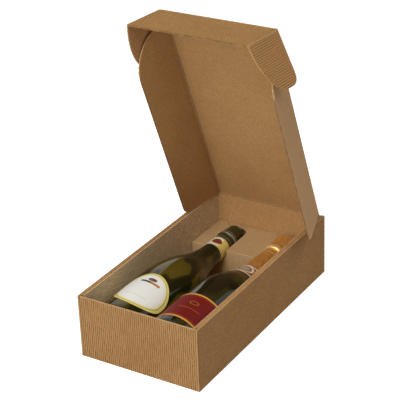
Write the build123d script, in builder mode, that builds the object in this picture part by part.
from build123d import *
import os
from math import cos, radians, sin, tan

# Open-flute board: a smooth sheet with ribs on its outer side
board = 2.0
liner = 1.2
rib_pitch = 3.3
rib_side_shares = (0.12, 0.34, 0.66, 0.88)
fold_gap = 0.3
crush_run = 2.7
crush_share = 0.3
overrun = 20.0

# Bottles, measured along their own axes from the base
left_diameter = 84.0
left_length = 328.0
left_body = 121.0
left_neck_length = 66.0
left_neck_radius = 16.4
left_mouth_radius = 13.4
left_lip_drop = 30.0
right_diameter = 86.0
right_length = 332.0
right_body = 118.0
right_neck_length = 92.0
right_neck_radius = 17.0
right_mouth_radius = 13.8
right_lip_drop = 12.0
heel = 8.0
punt = 24.0
glass_wall = 4.6
lip_height = 6.0
lip_slope = 1.5
lip_rise = 1.3
film = 0.15
cork_depth = 38.0
head_space = 6.0

# Stopper and wire hood of the right bottle
stopper_height = 25.0
stopper_waist_radius = 13.2
stopper_head_radius = 15.4
stopper_head_share = 0.4
stopper_round = 3.0
cap_disc = 0.5
cap_disc_radius = 12.0
wire = 1.0
wire_legs = 4

# Foil and paper dress of both bottles
foil = 0.4
left_capsule_length = 44.0
right_foil_length = 110.0
label = 0.3
left_label_start = 21.0
left_label_height = 82.5
left_label_arch_share = 0.53
left_label_bow_share = 0.39
left_label_half_angle = 59.0
left_label_turn = 9.0
left_collar_gap = 2.0
left_collar_height = 26.0
right_label_start = 17.0
right_label_height = 63.5
right_label_half_angle = 78.0
right_neck_label_gap = 1.0
right_neck_label_height = 31.0
right_neck_label_low_half = 24.0
right_neck_label_high_half = 17.0

# Tray, sized to the pair of bottles
bottle_gap = 1.6
seat_gap = 0.2
lid_clearance = 8.0
front_gap = 9.0
back_gap = 21.0
roll_width = 8.5
roll_slot = 4.0
fold_round = 1.2
corner_tab = 70.0
corner_tab_gap = 1.0
lock_tab = 45.0
lock_gap = 0.5
lock_place_share = 0.27

# Lid and its flaps, in the pose of the open box
lid_open_angle = 68.6
lid_side_gap = 0.5
tuck_gap = 0.5
dust_flap_width = 88.0
dust_flap_end_gap = 9.5
dust_flap_end_round = 50.0
dust_flap_foot = 1.7
dust_flap_foot_lean = 22.6
dust_flap_foot_round = 20.0
left_dust_splay = 2.5
right_dust_splay = 21.0
tuck_flap_depth = 82.0
tuck_flap_angle = 66.0
tuck_corner_round = 3.0
ear_length = 75.0
ear_crown_share = 0.3
ear_corner_round = 14.0
ear_set_back = 1.5
ear_gap = 0.3
left_ear_splay = 0.0
right_ear_splay = 26.0

# Neck rest at the hinge end
rest_depth = 83.0
rest_rise = 3.0
rest_gap = 0.8
rest_slot_gap = 1.4
rest_slot_margin = 10.0
rest_fold_round = 1.0
slit_width = 0.8
slit_turn = 45.0

# Derived sizes of the tray
left_radius = left_diameter / 2
right_radius = right_diameter / 2
tray_width = left_diameter + right_diameter + 3 * bottle_gap + 2 * roll_width
tray_height = board + max(left_diameter, right_diameter) + lid_clearance
tray_length = 2 * board + front_gap + max(left_length, right_length) + back_gap
outer_x = tray_width / 2
panel_x = outer_x - board
inner_x = outer_x - roll_width
end_y = tray_length / 2
inner_y = end_y - board

# Bottle axes run along Y, with the bases at the front wall
base_y = -inner_y + front_gap
left_axis = (-inner_x + bottle_gap + left_radius, board + seat_gap + left_radius)
right_axis = (inner_x - bottle_gap - right_radius, board + seat_gap + right_radius)

# Hinge of the lid, and the directions of the lid's panel
bead = board / 2
hinge = Vector(0, end_y - bead, tray_height - bead)
lid_angle = radians(lid_open_angle)
along_lid = Vector(0, -cos(lid_angle), sin(lid_angle))
lid_out = Vector(0, sin(lid_angle), cos(lid_angle))
side = Vector(1, 0, 0)
dust_fold_x = inner_x - lid_side_gap - bead
lid_half = dust_fold_x - bead - fold_gap
crease_half = dust_fold_x + bead
lid_length = 2 * end_y - board - 2 * bead - tuck_gap
tuck_fold = hinge + along_lid * lid_length
tuck_angle = radians(tuck_flap_angle)
along_tuck = along_lid * cos(tuck_angle) - lid_out * sin(tuck_angle)
tuck_out = along_lid * sin(tuck_angle) + lid_out * cos(tuck_angle)
ear_fold_x = panel_x - ear_gap - bead
tuck_half = ear_fold_x - bead - fold_gap


def ribbed_section(low, high, outside, low_crush=None, high_crush=None):
    """Section of a board from low to high, with ribs on the outside (+1 or -1).

    A crush is the length of thin board at an end, where the plain face is pressed in for a fold.
    """
    count = int((high - low) // rib_pitch)
    margin = (high - low - count * rib_pitch) / 2
    root = outside * (liner - bead)
    crown = outside * bead
    thin = -crown * crush_share
    points = [(low, -crown), (low, root)]
    if low_crush is not None:
        points = [(low + low_crush + crush_run, -crown), (low + low_crush, thin), (low, thin), (low, root)]
    for index in range(count):
        start = low + margin + index * rib_pitch
        for share, level in zip(rib_side_shares, (root, crown, crown, root)):
            points.append((start + share * rib_pitch, level))
    points.append((high, root))
    if high_crush is None:
        points.append((high, -crown))
    else:
        points += [(high, thin), (high - high_crush, thin), (high - high_crush - crush_run, -crown)]
    return closed_outline(points)


def closed_outline(points):
    """Flat face inside a closed run of straight lines."""
    with BuildSketch() as outline:
        with BuildLine():
            Polyline(*points, close=True)
        make_face()
    return outline.sketch


def bottle_place(axis):
    """Plane of a bottle's half section: X is the radius, Y runs from the base to the mouth."""
    return Plane(origin=(axis[0], base_y, axis[1]), x_dir=(1, 0, 0), z_dir=(0, 0, 1))


def bottle_axis(axis):
    """Centre line of a bottle."""
    return Axis((axis[0], base_y, axis[1]), (0, 1, 0))


def bottle_outline(sizes, grow):
    """Half section of a bottle, grown by a thickness: X is the radius, Y the height from the base."""
    radius, body, neck_start, neck_radius, top, mouth_radius = sizes
    ring = radius - heel
    turn_point = ((radius + neck_radius) / 2 + grow, (body + neck_start) / 2)
    with BuildSketch() as outline:
        with BuildLine():
            TangentArc((0, punt - grow), (ring, -grow), tangent=(1, 0))
            TangentArc((ring, -grow), (radius + grow, heel), tangent=(1, 0))
            Line((radius + grow, heel), (radius + grow, body))
            shoulder = TangentArc((radius + grow, body), turn_point, tangent=(0, 1))
            TangentArc(turn_point, (neck_radius + grow, neck_start), tangent=shoulder % 1)
            Polyline(
                (neck_radius + grow, neck_start),
                (mouth_radius + grow, top),
                (0, top),
                (0, punt - grow),
            )
        make_face()
    return outline.sketch


def stretch(low, high, radius):
    """Half section of a plain round slab between two heights."""
    return closed_outline([(0, low), (radius, low), (radius, high), (0, high)])


def neck_radius_at(sizes, height):
    """Outer radius of a bottle's neck at a height."""
    _, _, neck_start, neck_radius, top, mouth_radius = sizes
    return neck_radius + (mouth_radius - neck_radius) * (height - neck_start) / (top - neck_start)


def label_plane(axis, turn):
    """Plane through a bottle's axis that faces the middle of a label, X round the bottle, Y along it."""
    facing = Vector(sin(radians(turn)), 0, cos(radians(turn)))
    return Plane(origin=(axis[0], base_y, axis[1]), x_dir=Vector(0, 1, 0).cross(facing), z_dir=facing)


def lip_outline(sizes, foot, grow):
    """Half section of the raised ring under a bottle's mouth, grown by a thickness."""
    low = foot - lip_slope
    high = foot + lip_height + lip_slope
    lip = neck_radius_at(sizes, foot) + lip_rise + grow
    return closed_outline(
        [
            (0, low),
            (neck_radius_at(sizes, low) + grow, low),
            (lip, foot),
            (lip, foot + lip_height),
            (neck_radius_at(sizes, high) + grow, high),
            (0, high),
        ]
    )


# Heights on the bottles that follow their lengths
left_neck_start = left_length - left_neck_length
left_capsule_start = left_length - left_capsule_length
left_collar_end = left_capsule_start - left_collar_gap
right_neck_start = right_length - right_neck_length
right_foil_start = right_length - right_foil_length
right_neck_label_end = right_foil_start - right_neck_label_gap
left_glass_top = left_length - foil - film
right_stopper_top = right_length - foil - 2 * film - cap_disc
right_glass_top = right_stopper_top - stopper_height
left_sizes = (
    left_radius, left_body, left_neck_start, left_neck_radius, left_glass_top, left_mouth_radius,
)
right_sizes = (
    right_radius, right_body, right_neck_start, right_neck_radius, right_glass_top, right_mouth_radius,
)
left_lip_foot = left_glass_top - left_lip_drop
right_lip_foot = right_glass_top - right_lip_drop
right_lip = neck_radius_at(right_sizes, right_lip_foot) + lip_rise
stopper_head = right_glass_top + stopper_head_share * stopper_height


def hood_outline(foot, grow):
    """Half section of the room over the right lip, wire and stopper, grown by a thickness."""
    clear = wire + 2 * film + grow
    return closed_outline(
        [
            (0, foot),
            (right_lip + clear, foot),
            (right_lip + clear, right_lip_foot + lip_height),
            (right_mouth_radius + clear, right_glass_top),
            (stopper_head_radius + clear, stopper_head),
            (stopper_head_radius + clear, right_stopper_top - stopper_round),
            (stopper_head_radius - stopper_round + clear, right_length - foil + grow),
            (0, right_length - foil + grow),
        ]
    )


def paper_section(sizes):
    """Half section of a sheet of label paper laid all round a bottle, without its hollow base."""
    with BuildSketch() as section:
        add(bottle_outline(sizes, film + label))
        add(bottle_outline(sizes, film), mode=Mode.SUBTRACT)
        add(stretch(-overrun, punt, sizes[0] - heel), mode=Mode.SUBTRACT)
    return section.sketch


os.makedirs("parts", exist_ok=True)

# Tray: floor, ribbed end walls, rolled double side walls, corner tabs and floor locks
with BuildPart() as tray:
    # floor, with round folds along its sides
    with BuildSketch(Plane.XZ.offset(-end_y)):
        with Locations((0, bead)):
            Rectangle(tray_width, board)
        fillet(vertices().group_by(Axis.Y)[0], fold_round)
    extrude(amount=tray_length)
    # end walls with upright ribs, the back one under the lid's hinge
    with BuildSketch(Plane((0, -inner_y - bead, 0))):
        add(ribbed_section(-panel_x, panel_x, -1))
    extrude(amount=tray_height)
    with BuildSketch(Plane((0, inner_y + bead, 0))):
        add(ribbed_section(-panel_x, panel_x, 1))
    extrude(amount=tray_height - board - fold_gap)
    for x_sign in (-1, 1):
        outer_fold = (x_sign * (outer_x - bead), end_y, tray_height - bead)
        inner_fold = (x_sign * (inner_x + bead), inner_y, tray_height - bead)
        top_middle = (x_sign * (outer_x + inner_x) / 2, end_y, tray_height - bead)
        # outer panel with lengthwise ribs, its fold, and the strip along the top
        with BuildSketch(Plane(outer_fold, x_dir=(0, 0, 1), z_dir=(0, -1, 0))):
            add(ribbed_section(bead - tray_height, 0, -x_sign))
            Circle(bead)
        extrude(amount=tray_length)
        with BuildSketch(Plane(top_middle, x_dir=(1, 0, 0), z_dir=(0, -1, 0))):
            add(ribbed_section(bead - roll_width / 2, roll_width / 2 - bead, 1))
        extrude(amount=tray_length - board - roll_slot)
        # inner panel, rolled over and down to the floor
        with BuildSketch(Plane(inner_fold, x_dir=(0, 0, 1), z_dir=(0, -1, 0))):
            add(ribbed_section(bead - tray_height, 0, x_sign))
            Circle(bead)
        extrude(amount=2 * inner_y - roll_slot)
    # corner tabs of both end walls, inside the rolled walls
    with BuildSketch(Plane.XY.offset(board)):
        for x_sign in (-1, 1):
            for y_sign in (-1, 1):
                with Locations((x_sign * (panel_x - board / 2), y_sign * (end_y - corner_tab / 2))):
                    Rectangle(board, corner_tab)
    extrude(amount=tray_height - 2 * board - corner_tab_gap)
    # lock tabs of the inner panels, each in its slot through the floor
    lock_places = [
        (x_sign * (inner_x + board / 2), y_sign * lock_place_share * tray_length)
        for x_sign in (-1, 1)
        for y_sign in (-1, 1)
    ]
    with BuildSketch(Plane.XY):
        with Locations(*lock_places):
            Rectangle(board + 2 * lock_gap, lock_tab + 2 * lock_gap)
    extrude(amount=board, mode=Mode.SUBTRACT)
    with BuildSketch(Plane.XY.offset(lock_gap)):
        with Locations(*lock_places):
            Rectangle(board, lock_tab)
    extrude(amount=board)
tray.part.label = "tray"
export_step(tray.part, "parts/tray.step")

# Lid: ribbed panel with the round crease of its hinge
with BuildPart() as lid:
    with BuildSketch(Plane(origin=hinge, x_dir=side, z_dir=along_lid)):
        add(ribbed_section(-lid_half, lid_half, 1, fold_gap, fold_gap))
    extrude(amount=lid_length - bead - fold_gap)
    with BuildSketch(Plane(origin=hinge - side * crease_half, x_dir=along_lid, z_dir=side)):
        Circle(bead)
    extrude(amount=2 * crease_half)
lid.part.label = "lid"
export_step(lid.part, "parts/lid.step")

# Dust flaps on the lid's sides, splayed as they stand in the open box
dust_flap_end = lid_length - dust_flap_end_gap
for flap_name, x_sign, splay in (("left", -1, left_dust_splay), ("right", 1, right_dust_splay)):
    fold = hinge + side * (x_sign * dust_fold_x)
    across = side * (x_sign * sin(radians(splay))) - lid_out * cos(radians(splay))
    with BuildPart() as dust_flap:
        with BuildSketch(Plane(origin=fold, x_dir=across, z_dir=along_lid)):
            add(ribbed_section(0, dust_flap_width, x_sign, bead + fold_gap))
        extrude(amount=dust_flap_end)
        with BuildSketch(Plane(origin=fold, x_dir=across, z_dir=across.cross(along_lid))):
            with BuildLine():
                Polyline(
                    (0, dust_flap_foot),
                    (dust_flap_width, dust_flap_foot + dust_flap_width * tan(radians(dust_flap_foot_lean))),
                    (dust_flap_width, dust_flap_end),
                    (0, dust_flap_end),
                    close=True,
                )
            make_face()
            fillet(vertices().group_by(Axis.X)[-1].sort_by(Axis.Y)[-1], dust_flap_end_round)
            fillet(vertices().group_by(Axis.X)[-1].sort_by(Axis.Y)[0], dust_flap_foot_round)
        extrude(amount=board, both=True, mode=Mode.INTERSECT)
        with BuildSketch(Plane(origin=fold + along_lid * dust_flap_foot, x_dir=across, z_dir=along_lid)):
            Circle(bead)
        extrude(amount=dust_flap_end - dust_flap_foot)
    dust_flap.part.label = flap_name + "_dust_flap"
    export_step(dust_flap.part, "parts/" + flap_name + "_dust_flap.step")

# Tuck flap at the lid's front edge
with BuildPart() as tuck_flap:
    with BuildSketch(Plane(origin=tuck_fold, x_dir=side, z_dir=along_tuck)):
        add(ribbed_section(-tuck_half, tuck_half, 1))
    extrude(amount=tuck_flap_depth)
    with BuildSketch(Plane(origin=tuck_fold, x_dir=side, z_dir=tuck_out)):
        with Locations((0, -tuck_flap_depth / 2)):
            Rectangle(2 * tuck_half, tuck_flap_depth)
        fillet(vertices().group_by(Axis.Y)[0], tuck_corner_round)
    extrude(amount=board, both=True, mode=Mode.INTERSECT)
    with BuildSketch(Plane(origin=tuck_fold - side * tuck_half, x_dir=along_tuck, z_dir=side)):
        Circle(bead)
    extrude(amount=2 * tuck_half)
tuck_flap.part.label = "tuck_flap"
export_step(tuck_flap.part, "parts/tuck_flap.step")

# Ears at the tuck flap's ends: a straight side, a round corner and a long curve
for ear_name, x_sign, splay in (("left", -1, left_ear_splay), ("right", 1, right_ear_splay)):
    fold = tuck_fold + side * (x_sign * ear_fold_x)
    across = side * (x_sign * sin(radians(splay))) - tuck_out * cos(radians(splay))
    crown = ear_crown_share * tuck_flap_depth
    with BuildPart() as ear:
        with BuildSketch(Plane(origin=fold, x_dir=across, z_dir=along_tuck)):
            add(ribbed_section(0, ear_length, x_sign))
        extrude(amount=tuck_flap_depth)
        with BuildSketch(Plane(origin=fold, x_dir=across, z_dir=across.cross(along_tuck))):
            with BuildLine():
                Polyline(
                    (0, tuck_flap_depth - ear_set_back),
                    (0, ear_set_back),
                    (ear_length, ear_set_back),
                    (ear_length, crown),
                )
                EllipticalCenterArc(
                    (0, crown),
                    ear_length,
                    tuck_flap_depth - ear_set_back - crown,
                    start_angle=0,
                    arc_size=90,
                )
            make_face()
            fillet(vertices().group_by(Axis.X)[-1].sort_by(Axis.Y)[0], ear_corner_round)
        extrude(amount=board, both=True, mode=Mode.INTERSECT)
        with BuildSketch(Plane(origin=fold + along_tuck * ear_set_back, x_dir=across, z_dir=along_tuck)):
            Circle(bead)
        extrude(amount=tuck_flap_depth - 2 * ear_set_back)
    ear.part.label = ear_name + "_ear"
    export_step(ear.part, "parts/" + ear_name + "_ear.step")

# Neck rest: a folded bridge of card with a slot for each neck
rest_top = board + max(left_radius, right_radius) + rest_rise
rest_half = inner_x - rest_gap
rest_back = inner_y - rest_gap
rest_front = rest_back - rest_depth
rest_slots = (
    (left_axis, left_neck_radius + rest_slot_gap),
    (right_axis, right_neck_radius + rest_slot_gap),
)
with BuildPart() as neck_rest:
    with BuildSketch(Plane.YZ.offset(-rest_half)):
        with Locations((rest_front + rest_depth / 2, (board + rest_top) / 2)):
            Rectangle(rest_depth, rest_top - board)
        fillet(vertices().group_by(Axis.Y)[-1], rest_fold_round)
        with Locations((rest_front + rest_depth / 2, rest_top / 2)):
            Rectangle(rest_depth - 2 * board, rest_top - 2 * board, mode=Mode.SUBTRACT)
    extrude(amount=2 * rest_half)
    for axis, slot_radius in rest_slots:
        slot_end = rest_back - rest_slot_margin - slot_radius
        # slot through the platform, open to the front
        with BuildSketch(Plane.XY.offset(rest_top)):
            with Locations((axis[0], slot_end)):
                Circle(slot_radius)
            with Locations((axis[0], (slot_end + rest_front - overrun) / 2)):
                Rectangle(2 * slot_radius, slot_end - rest_front + overrun)
        extrude(amount=-2 * board, mode=Mode.SUBTRACT)
        # round-bottomed cut in the front leg
        with BuildSketch(Plane.XZ.offset(-rest_front - 2 * board)):
            with Locations((axis[0], axis[1])):
                Circle(slot_radius)
            with Locations((axis[0], (axis[1] + rest_top) / 2)):
                Rectangle(2 * slot_radius, rest_top - axis[1])
        extrude(amount=4 * board, mode=Mode.SUBTRACT)
        # slit from the slot's end to the back fold
        slit_length = (rest_back - slot_end) / cos(radians(slit_turn)) + overrun
        with BuildSketch(Plane.XY.offset(rest_top)):
            with Locations(Location((axis[0], slot_end, 0), (0, 0, slit_turn))):
                with Locations((0, slit_length / 2)):
                    Rectangle(slit_width, slit_length)
            with Locations((axis[0], rest_back)):
                Rectangle(2 * rest_depth, 2 * board, mode=Mode.SUBTRACT)
        extrude(amount=-2 * board, mode=Mode.SUBTRACT)
neck_rest.part.label = "neck_rest"
export_step(neck_rest.part, "parts/neck_rest.step")

# Glass and wine of both bottles
for bottle_name, axis, sizes, lip_foot, glass_top in (
    ("left", left_axis, left_sizes, left_lip_foot, left_glass_top),
    ("right", right_axis, right_sizes, right_lip_foot, right_glass_top),
):
    wine_top = glass_top - cork_depth - head_space
    with BuildPart() as glass:
        with BuildSketch(bottle_place(axis)):
            add(bottle_outline(sizes, 0))
            add(lip_outline(sizes, lip_foot, 0))
            add(bottle_outline(sizes, -glass_wall), mode=Mode.SUBTRACT)
        revolve(axis=bottle_axis(axis))
    glass.part.label = bottle_name + "_bottle_glass"
    export_step(glass.part, "parts/" + bottle_name + "_bottle_glass.step")
    with BuildPart() as wine:
        with BuildSketch(bottle_place(axis)):
            add(bottle_outline(sizes, -glass_wall - film))
            add(stretch(0, wine_top, sizes[0]), mode=Mode.INTERSECT)
        revolve(axis=bottle_axis(axis))
    wine.part.label = bottle_name + "_bottle_wine"
    export_step(wine.part, "parts/" + bottle_name + "_bottle_wine.step")

# Left cork: a plain stopper, flush with the mouth
with BuildPart() as left_cork:
    with BuildSketch(bottle_place(left_axis)):
        add(bottle_outline(left_sizes, -glass_wall - film))
        add(stretch(left_glass_top - cork_depth, left_glass_top, left_radius), mode=Mode.INTERSECT)
    revolve(axis=bottle_axis(left_axis))
left_cork.part.label = "left_bottle_cork"
export_step(left_cork.part, "parts/left_bottle_cork.step")

# Right cork: a mushroom stopper with a waist over the mouth and a round head
with BuildPart() as right_cork:
    with BuildSketch(bottle_place(right_axis)):
        add(bottle_outline(right_sizes, -glass_wall - film))
        add(stretch(right_glass_top - cork_depth, right_glass_top, right_radius), mode=Mode.INTERSECT)
        add(
            closed_outline(
                [
                    (0, right_glass_top),
                    (stopper_waist_radius, right_glass_top),
                    (stopper_head_radius, stopper_head),
                    (stopper_head_radius, right_stopper_top - stopper_round),
                    (stopper_head_radius - stopper_round, right_stopper_top),
                    (0, right_stopper_top),
                ]
            )
        )
    revolve(axis=bottle_axis(right_axis))
right_cork.part.label = "right_bottle_cork"
export_step(right_cork.part, "parts/right_bottle_cork.step")

# Metal disc between the stopper and the wire
with BuildPart() as disc:
    with BuildSketch(bottle_place(right_axis)):
        add(stretch(right_stopper_top + film, right_stopper_top + film + cap_disc, cap_disc_radius))
    revolve(axis=bottle_axis(right_axis))
disc.part.label = "right_bottle_cap_disc"
export_step(disc.part, "parts/right_bottle_cap_disc.step")

# Wire hood: a ring under the lip and legs over the stopper's head to the disc
wire_ring_height = right_lip_foot - lip_slope - wire
wire_ring_radius = neck_radius_at(right_sizes, wire_ring_height) + film
leg_run = [
    (wire_ring_radius, wire_ring_height),
    (right_lip + film, right_lip_foot),
    (right_lip + film, right_lip_foot + lip_height),
    (right_mouth_radius + film, right_glass_top + film),
    (stopper_head_radius + film, stopper_head),
    (stopper_head_radius + film, right_stopper_top - stopper_round),
    (stopper_head_radius - stopper_round + 2 * film, right_stopper_top + film),
]
leg_back = [(radius + wire, height) for radius, height in reversed(leg_run)]
with BuildPart() as hood:
    for leg in range(wire_legs):
        leg_turn = radians(leg * 360 / wire_legs)
        leg_side = Vector(cos(leg_turn), 0, sin(leg_turn))
        leg_place = Plane(
            origin=bottle_place(right_axis).origin, x_dir=leg_side, z_dir=leg_side.cross(Vector(0, 1, 0))
        )
        with BuildSketch(leg_place):
            add(closed_outline(leg_run + leg_back))
        extrude(amount=wire / 2, both=True)
    with BuildSketch(bottle_place(right_axis)):
        with Locations((wire_ring_radius + wire / 2, wire_ring_height)):
            Rectangle(wire, wire)
    revolve(axis=bottle_axis(right_axis))
hood.part.label = "right_bottle_wire_hood"
export_step(hood.part, "parts/right_bottle_wire_hood.step")

# Left capsule: thin skin over the neck, the ring and the mouth
with BuildPart() as capsule:
    with BuildSketch(bottle_place(left_axis)):
        add(bottle_outline(left_sizes, film + foil))
        add(lip_outline(left_sizes, left_lip_foot, film + foil))
        add(stretch(left_glass_top, left_length, left_mouth_radius + film + foil))
        add(stretch(left_capsule_start, left_length, left_radius), mode=Mode.INTERSECT)
        add(bottle_outline(left_sizes, film), mode=Mode.SUBTRACT)
        add(lip_outline(left_sizes, left_lip_foot, film), mode=Mode.SUBTRACT)
        add(stretch(left_glass_top, left_glass_top + film, left_mouth_radius + film), mode=Mode.SUBTRACT)
    revolve(axis=bottle_axis(left_axis))
capsule.part.label = "left_bottle_capsule"
export_step(capsule.part, "parts/left_bottle_capsule.step")

# Right foil: thin skin from the shoulder over the wire hood and the stopper
foil_step = wire_ring_height - wire
with BuildPart() as foil_skin:
    with BuildSketch(bottle_place(right_axis)):
        add(bottle_outline(right_sizes, film + foil))
        add(stretch(right_foil_start, foil_step, right_radius), mode=Mode.INTERSECT)
        add(hood_outline(foil_step - foil, foil))
        add(bottle_outline(right_sizes, film), mode=Mode.SUBTRACT)
        add(hood_outline(foil_step, 0), mode=Mode.SUBTRACT)
    revolve(axis=bottle_axis(right_axis))
foil_skin.part.label = "right_bottle_foil"
export_step(foil_skin.part, "parts/right_bottle_foil.step")

# Left front label: an arched top, short straight sides and a bowed foot
with BuildPart() as left_label:
    with BuildSketch(bottle_place(left_axis)):
        add(paper_section(left_sizes))
    revolve(axis=bottle_axis(left_axis))
    half = left_radius * sin(radians(left_label_half_angle))
    bow = left_label_bow_share * left_label_height
    arch = left_label_arch_share * left_label_height
    bow_top = left_label_start + bow
    arch_foot = left_label_start + left_label_height - arch
    with BuildSketch(label_plane(left_axis, left_label_turn)):
        with BuildLine():
            Line((half, bow_top), (half, arch_foot))
            EllipticalCenterArc((0, arch_foot), half, arch, start_angle=0, arc_size=180)
            Line((-half, arch_foot), (-half, bow_top))
            EllipticalCenterArc((0, bow_top), half, bow, start_angle=180, arc_size=180)
        make_face()
    extrude(amount=left_diameter, mode=Mode.INTERSECT)
left_label.part.label = "left_bottle_front_label"
export_step(left_label.part, "parts/left_bottle_front_label.step")

# Left collar label: a band all round the foot of the neck
with BuildPart() as collar:
    with BuildSketch(bottle_place(left_axis)):
        add(paper_section(left_sizes))
        add(
            stretch(left_collar_end - left_collar_height, left_collar_end, left_radius),
            mode=Mode.INTERSECT,
        )
    revolve(axis=bottle_axis(left_axis))
collar.part.label = "left_bottle_collar_label"
export_step(collar.part, "parts/left_bottle_collar_label.step")

# Right front label: a plain band over the upper side of the body
with BuildPart() as right_label:
    with BuildSketch(bottle_place(right_axis)):
        add(paper_section(right_sizes))
    revolve(axis=bottle_axis(right_axis))
    with BuildSketch(label_plane(right_axis, 0)):
        with Locations((0, right_label_start + right_label_height / 2)):
            Rectangle(right_diameter * sin(radians(right_label_half_angle)), right_label_height)
    extrude(amount=right_diameter, mode=Mode.INTERSECT)
right_label.part.label = "right_bottle_front_label"
export_step(right_label.part, "parts/right_bottle_front_label.step")

# Right neck label: tapers with the shoulder below the foil
with BuildPart() as neck_label:
    with BuildSketch(bottle_place(right_axis)):
        add(paper_section(right_sizes))
    revolve(axis=bottle_axis(right_axis))
    neck_label_start = right_neck_label_end - right_neck_label_height
    with BuildSketch(label_plane(right_axis, 0)):
        add(
            closed_outline(
                [
                    (-right_neck_label_low_half, neck_label_start),
                    (right_neck_label_low_half, neck_label_start),
                    (right_neck_label_high_half, right_neck_label_end),
                    (-right_neck_label_high_half, right_neck_label_end),
                ]
            )
        )
    extrude(amount=right_diameter, mode=Mode.INTERSECT)
neck_label.part.label = "right_bottle_neck_label"
export_step(neck_label.part, "parts/right_bottle_neck_label.step")
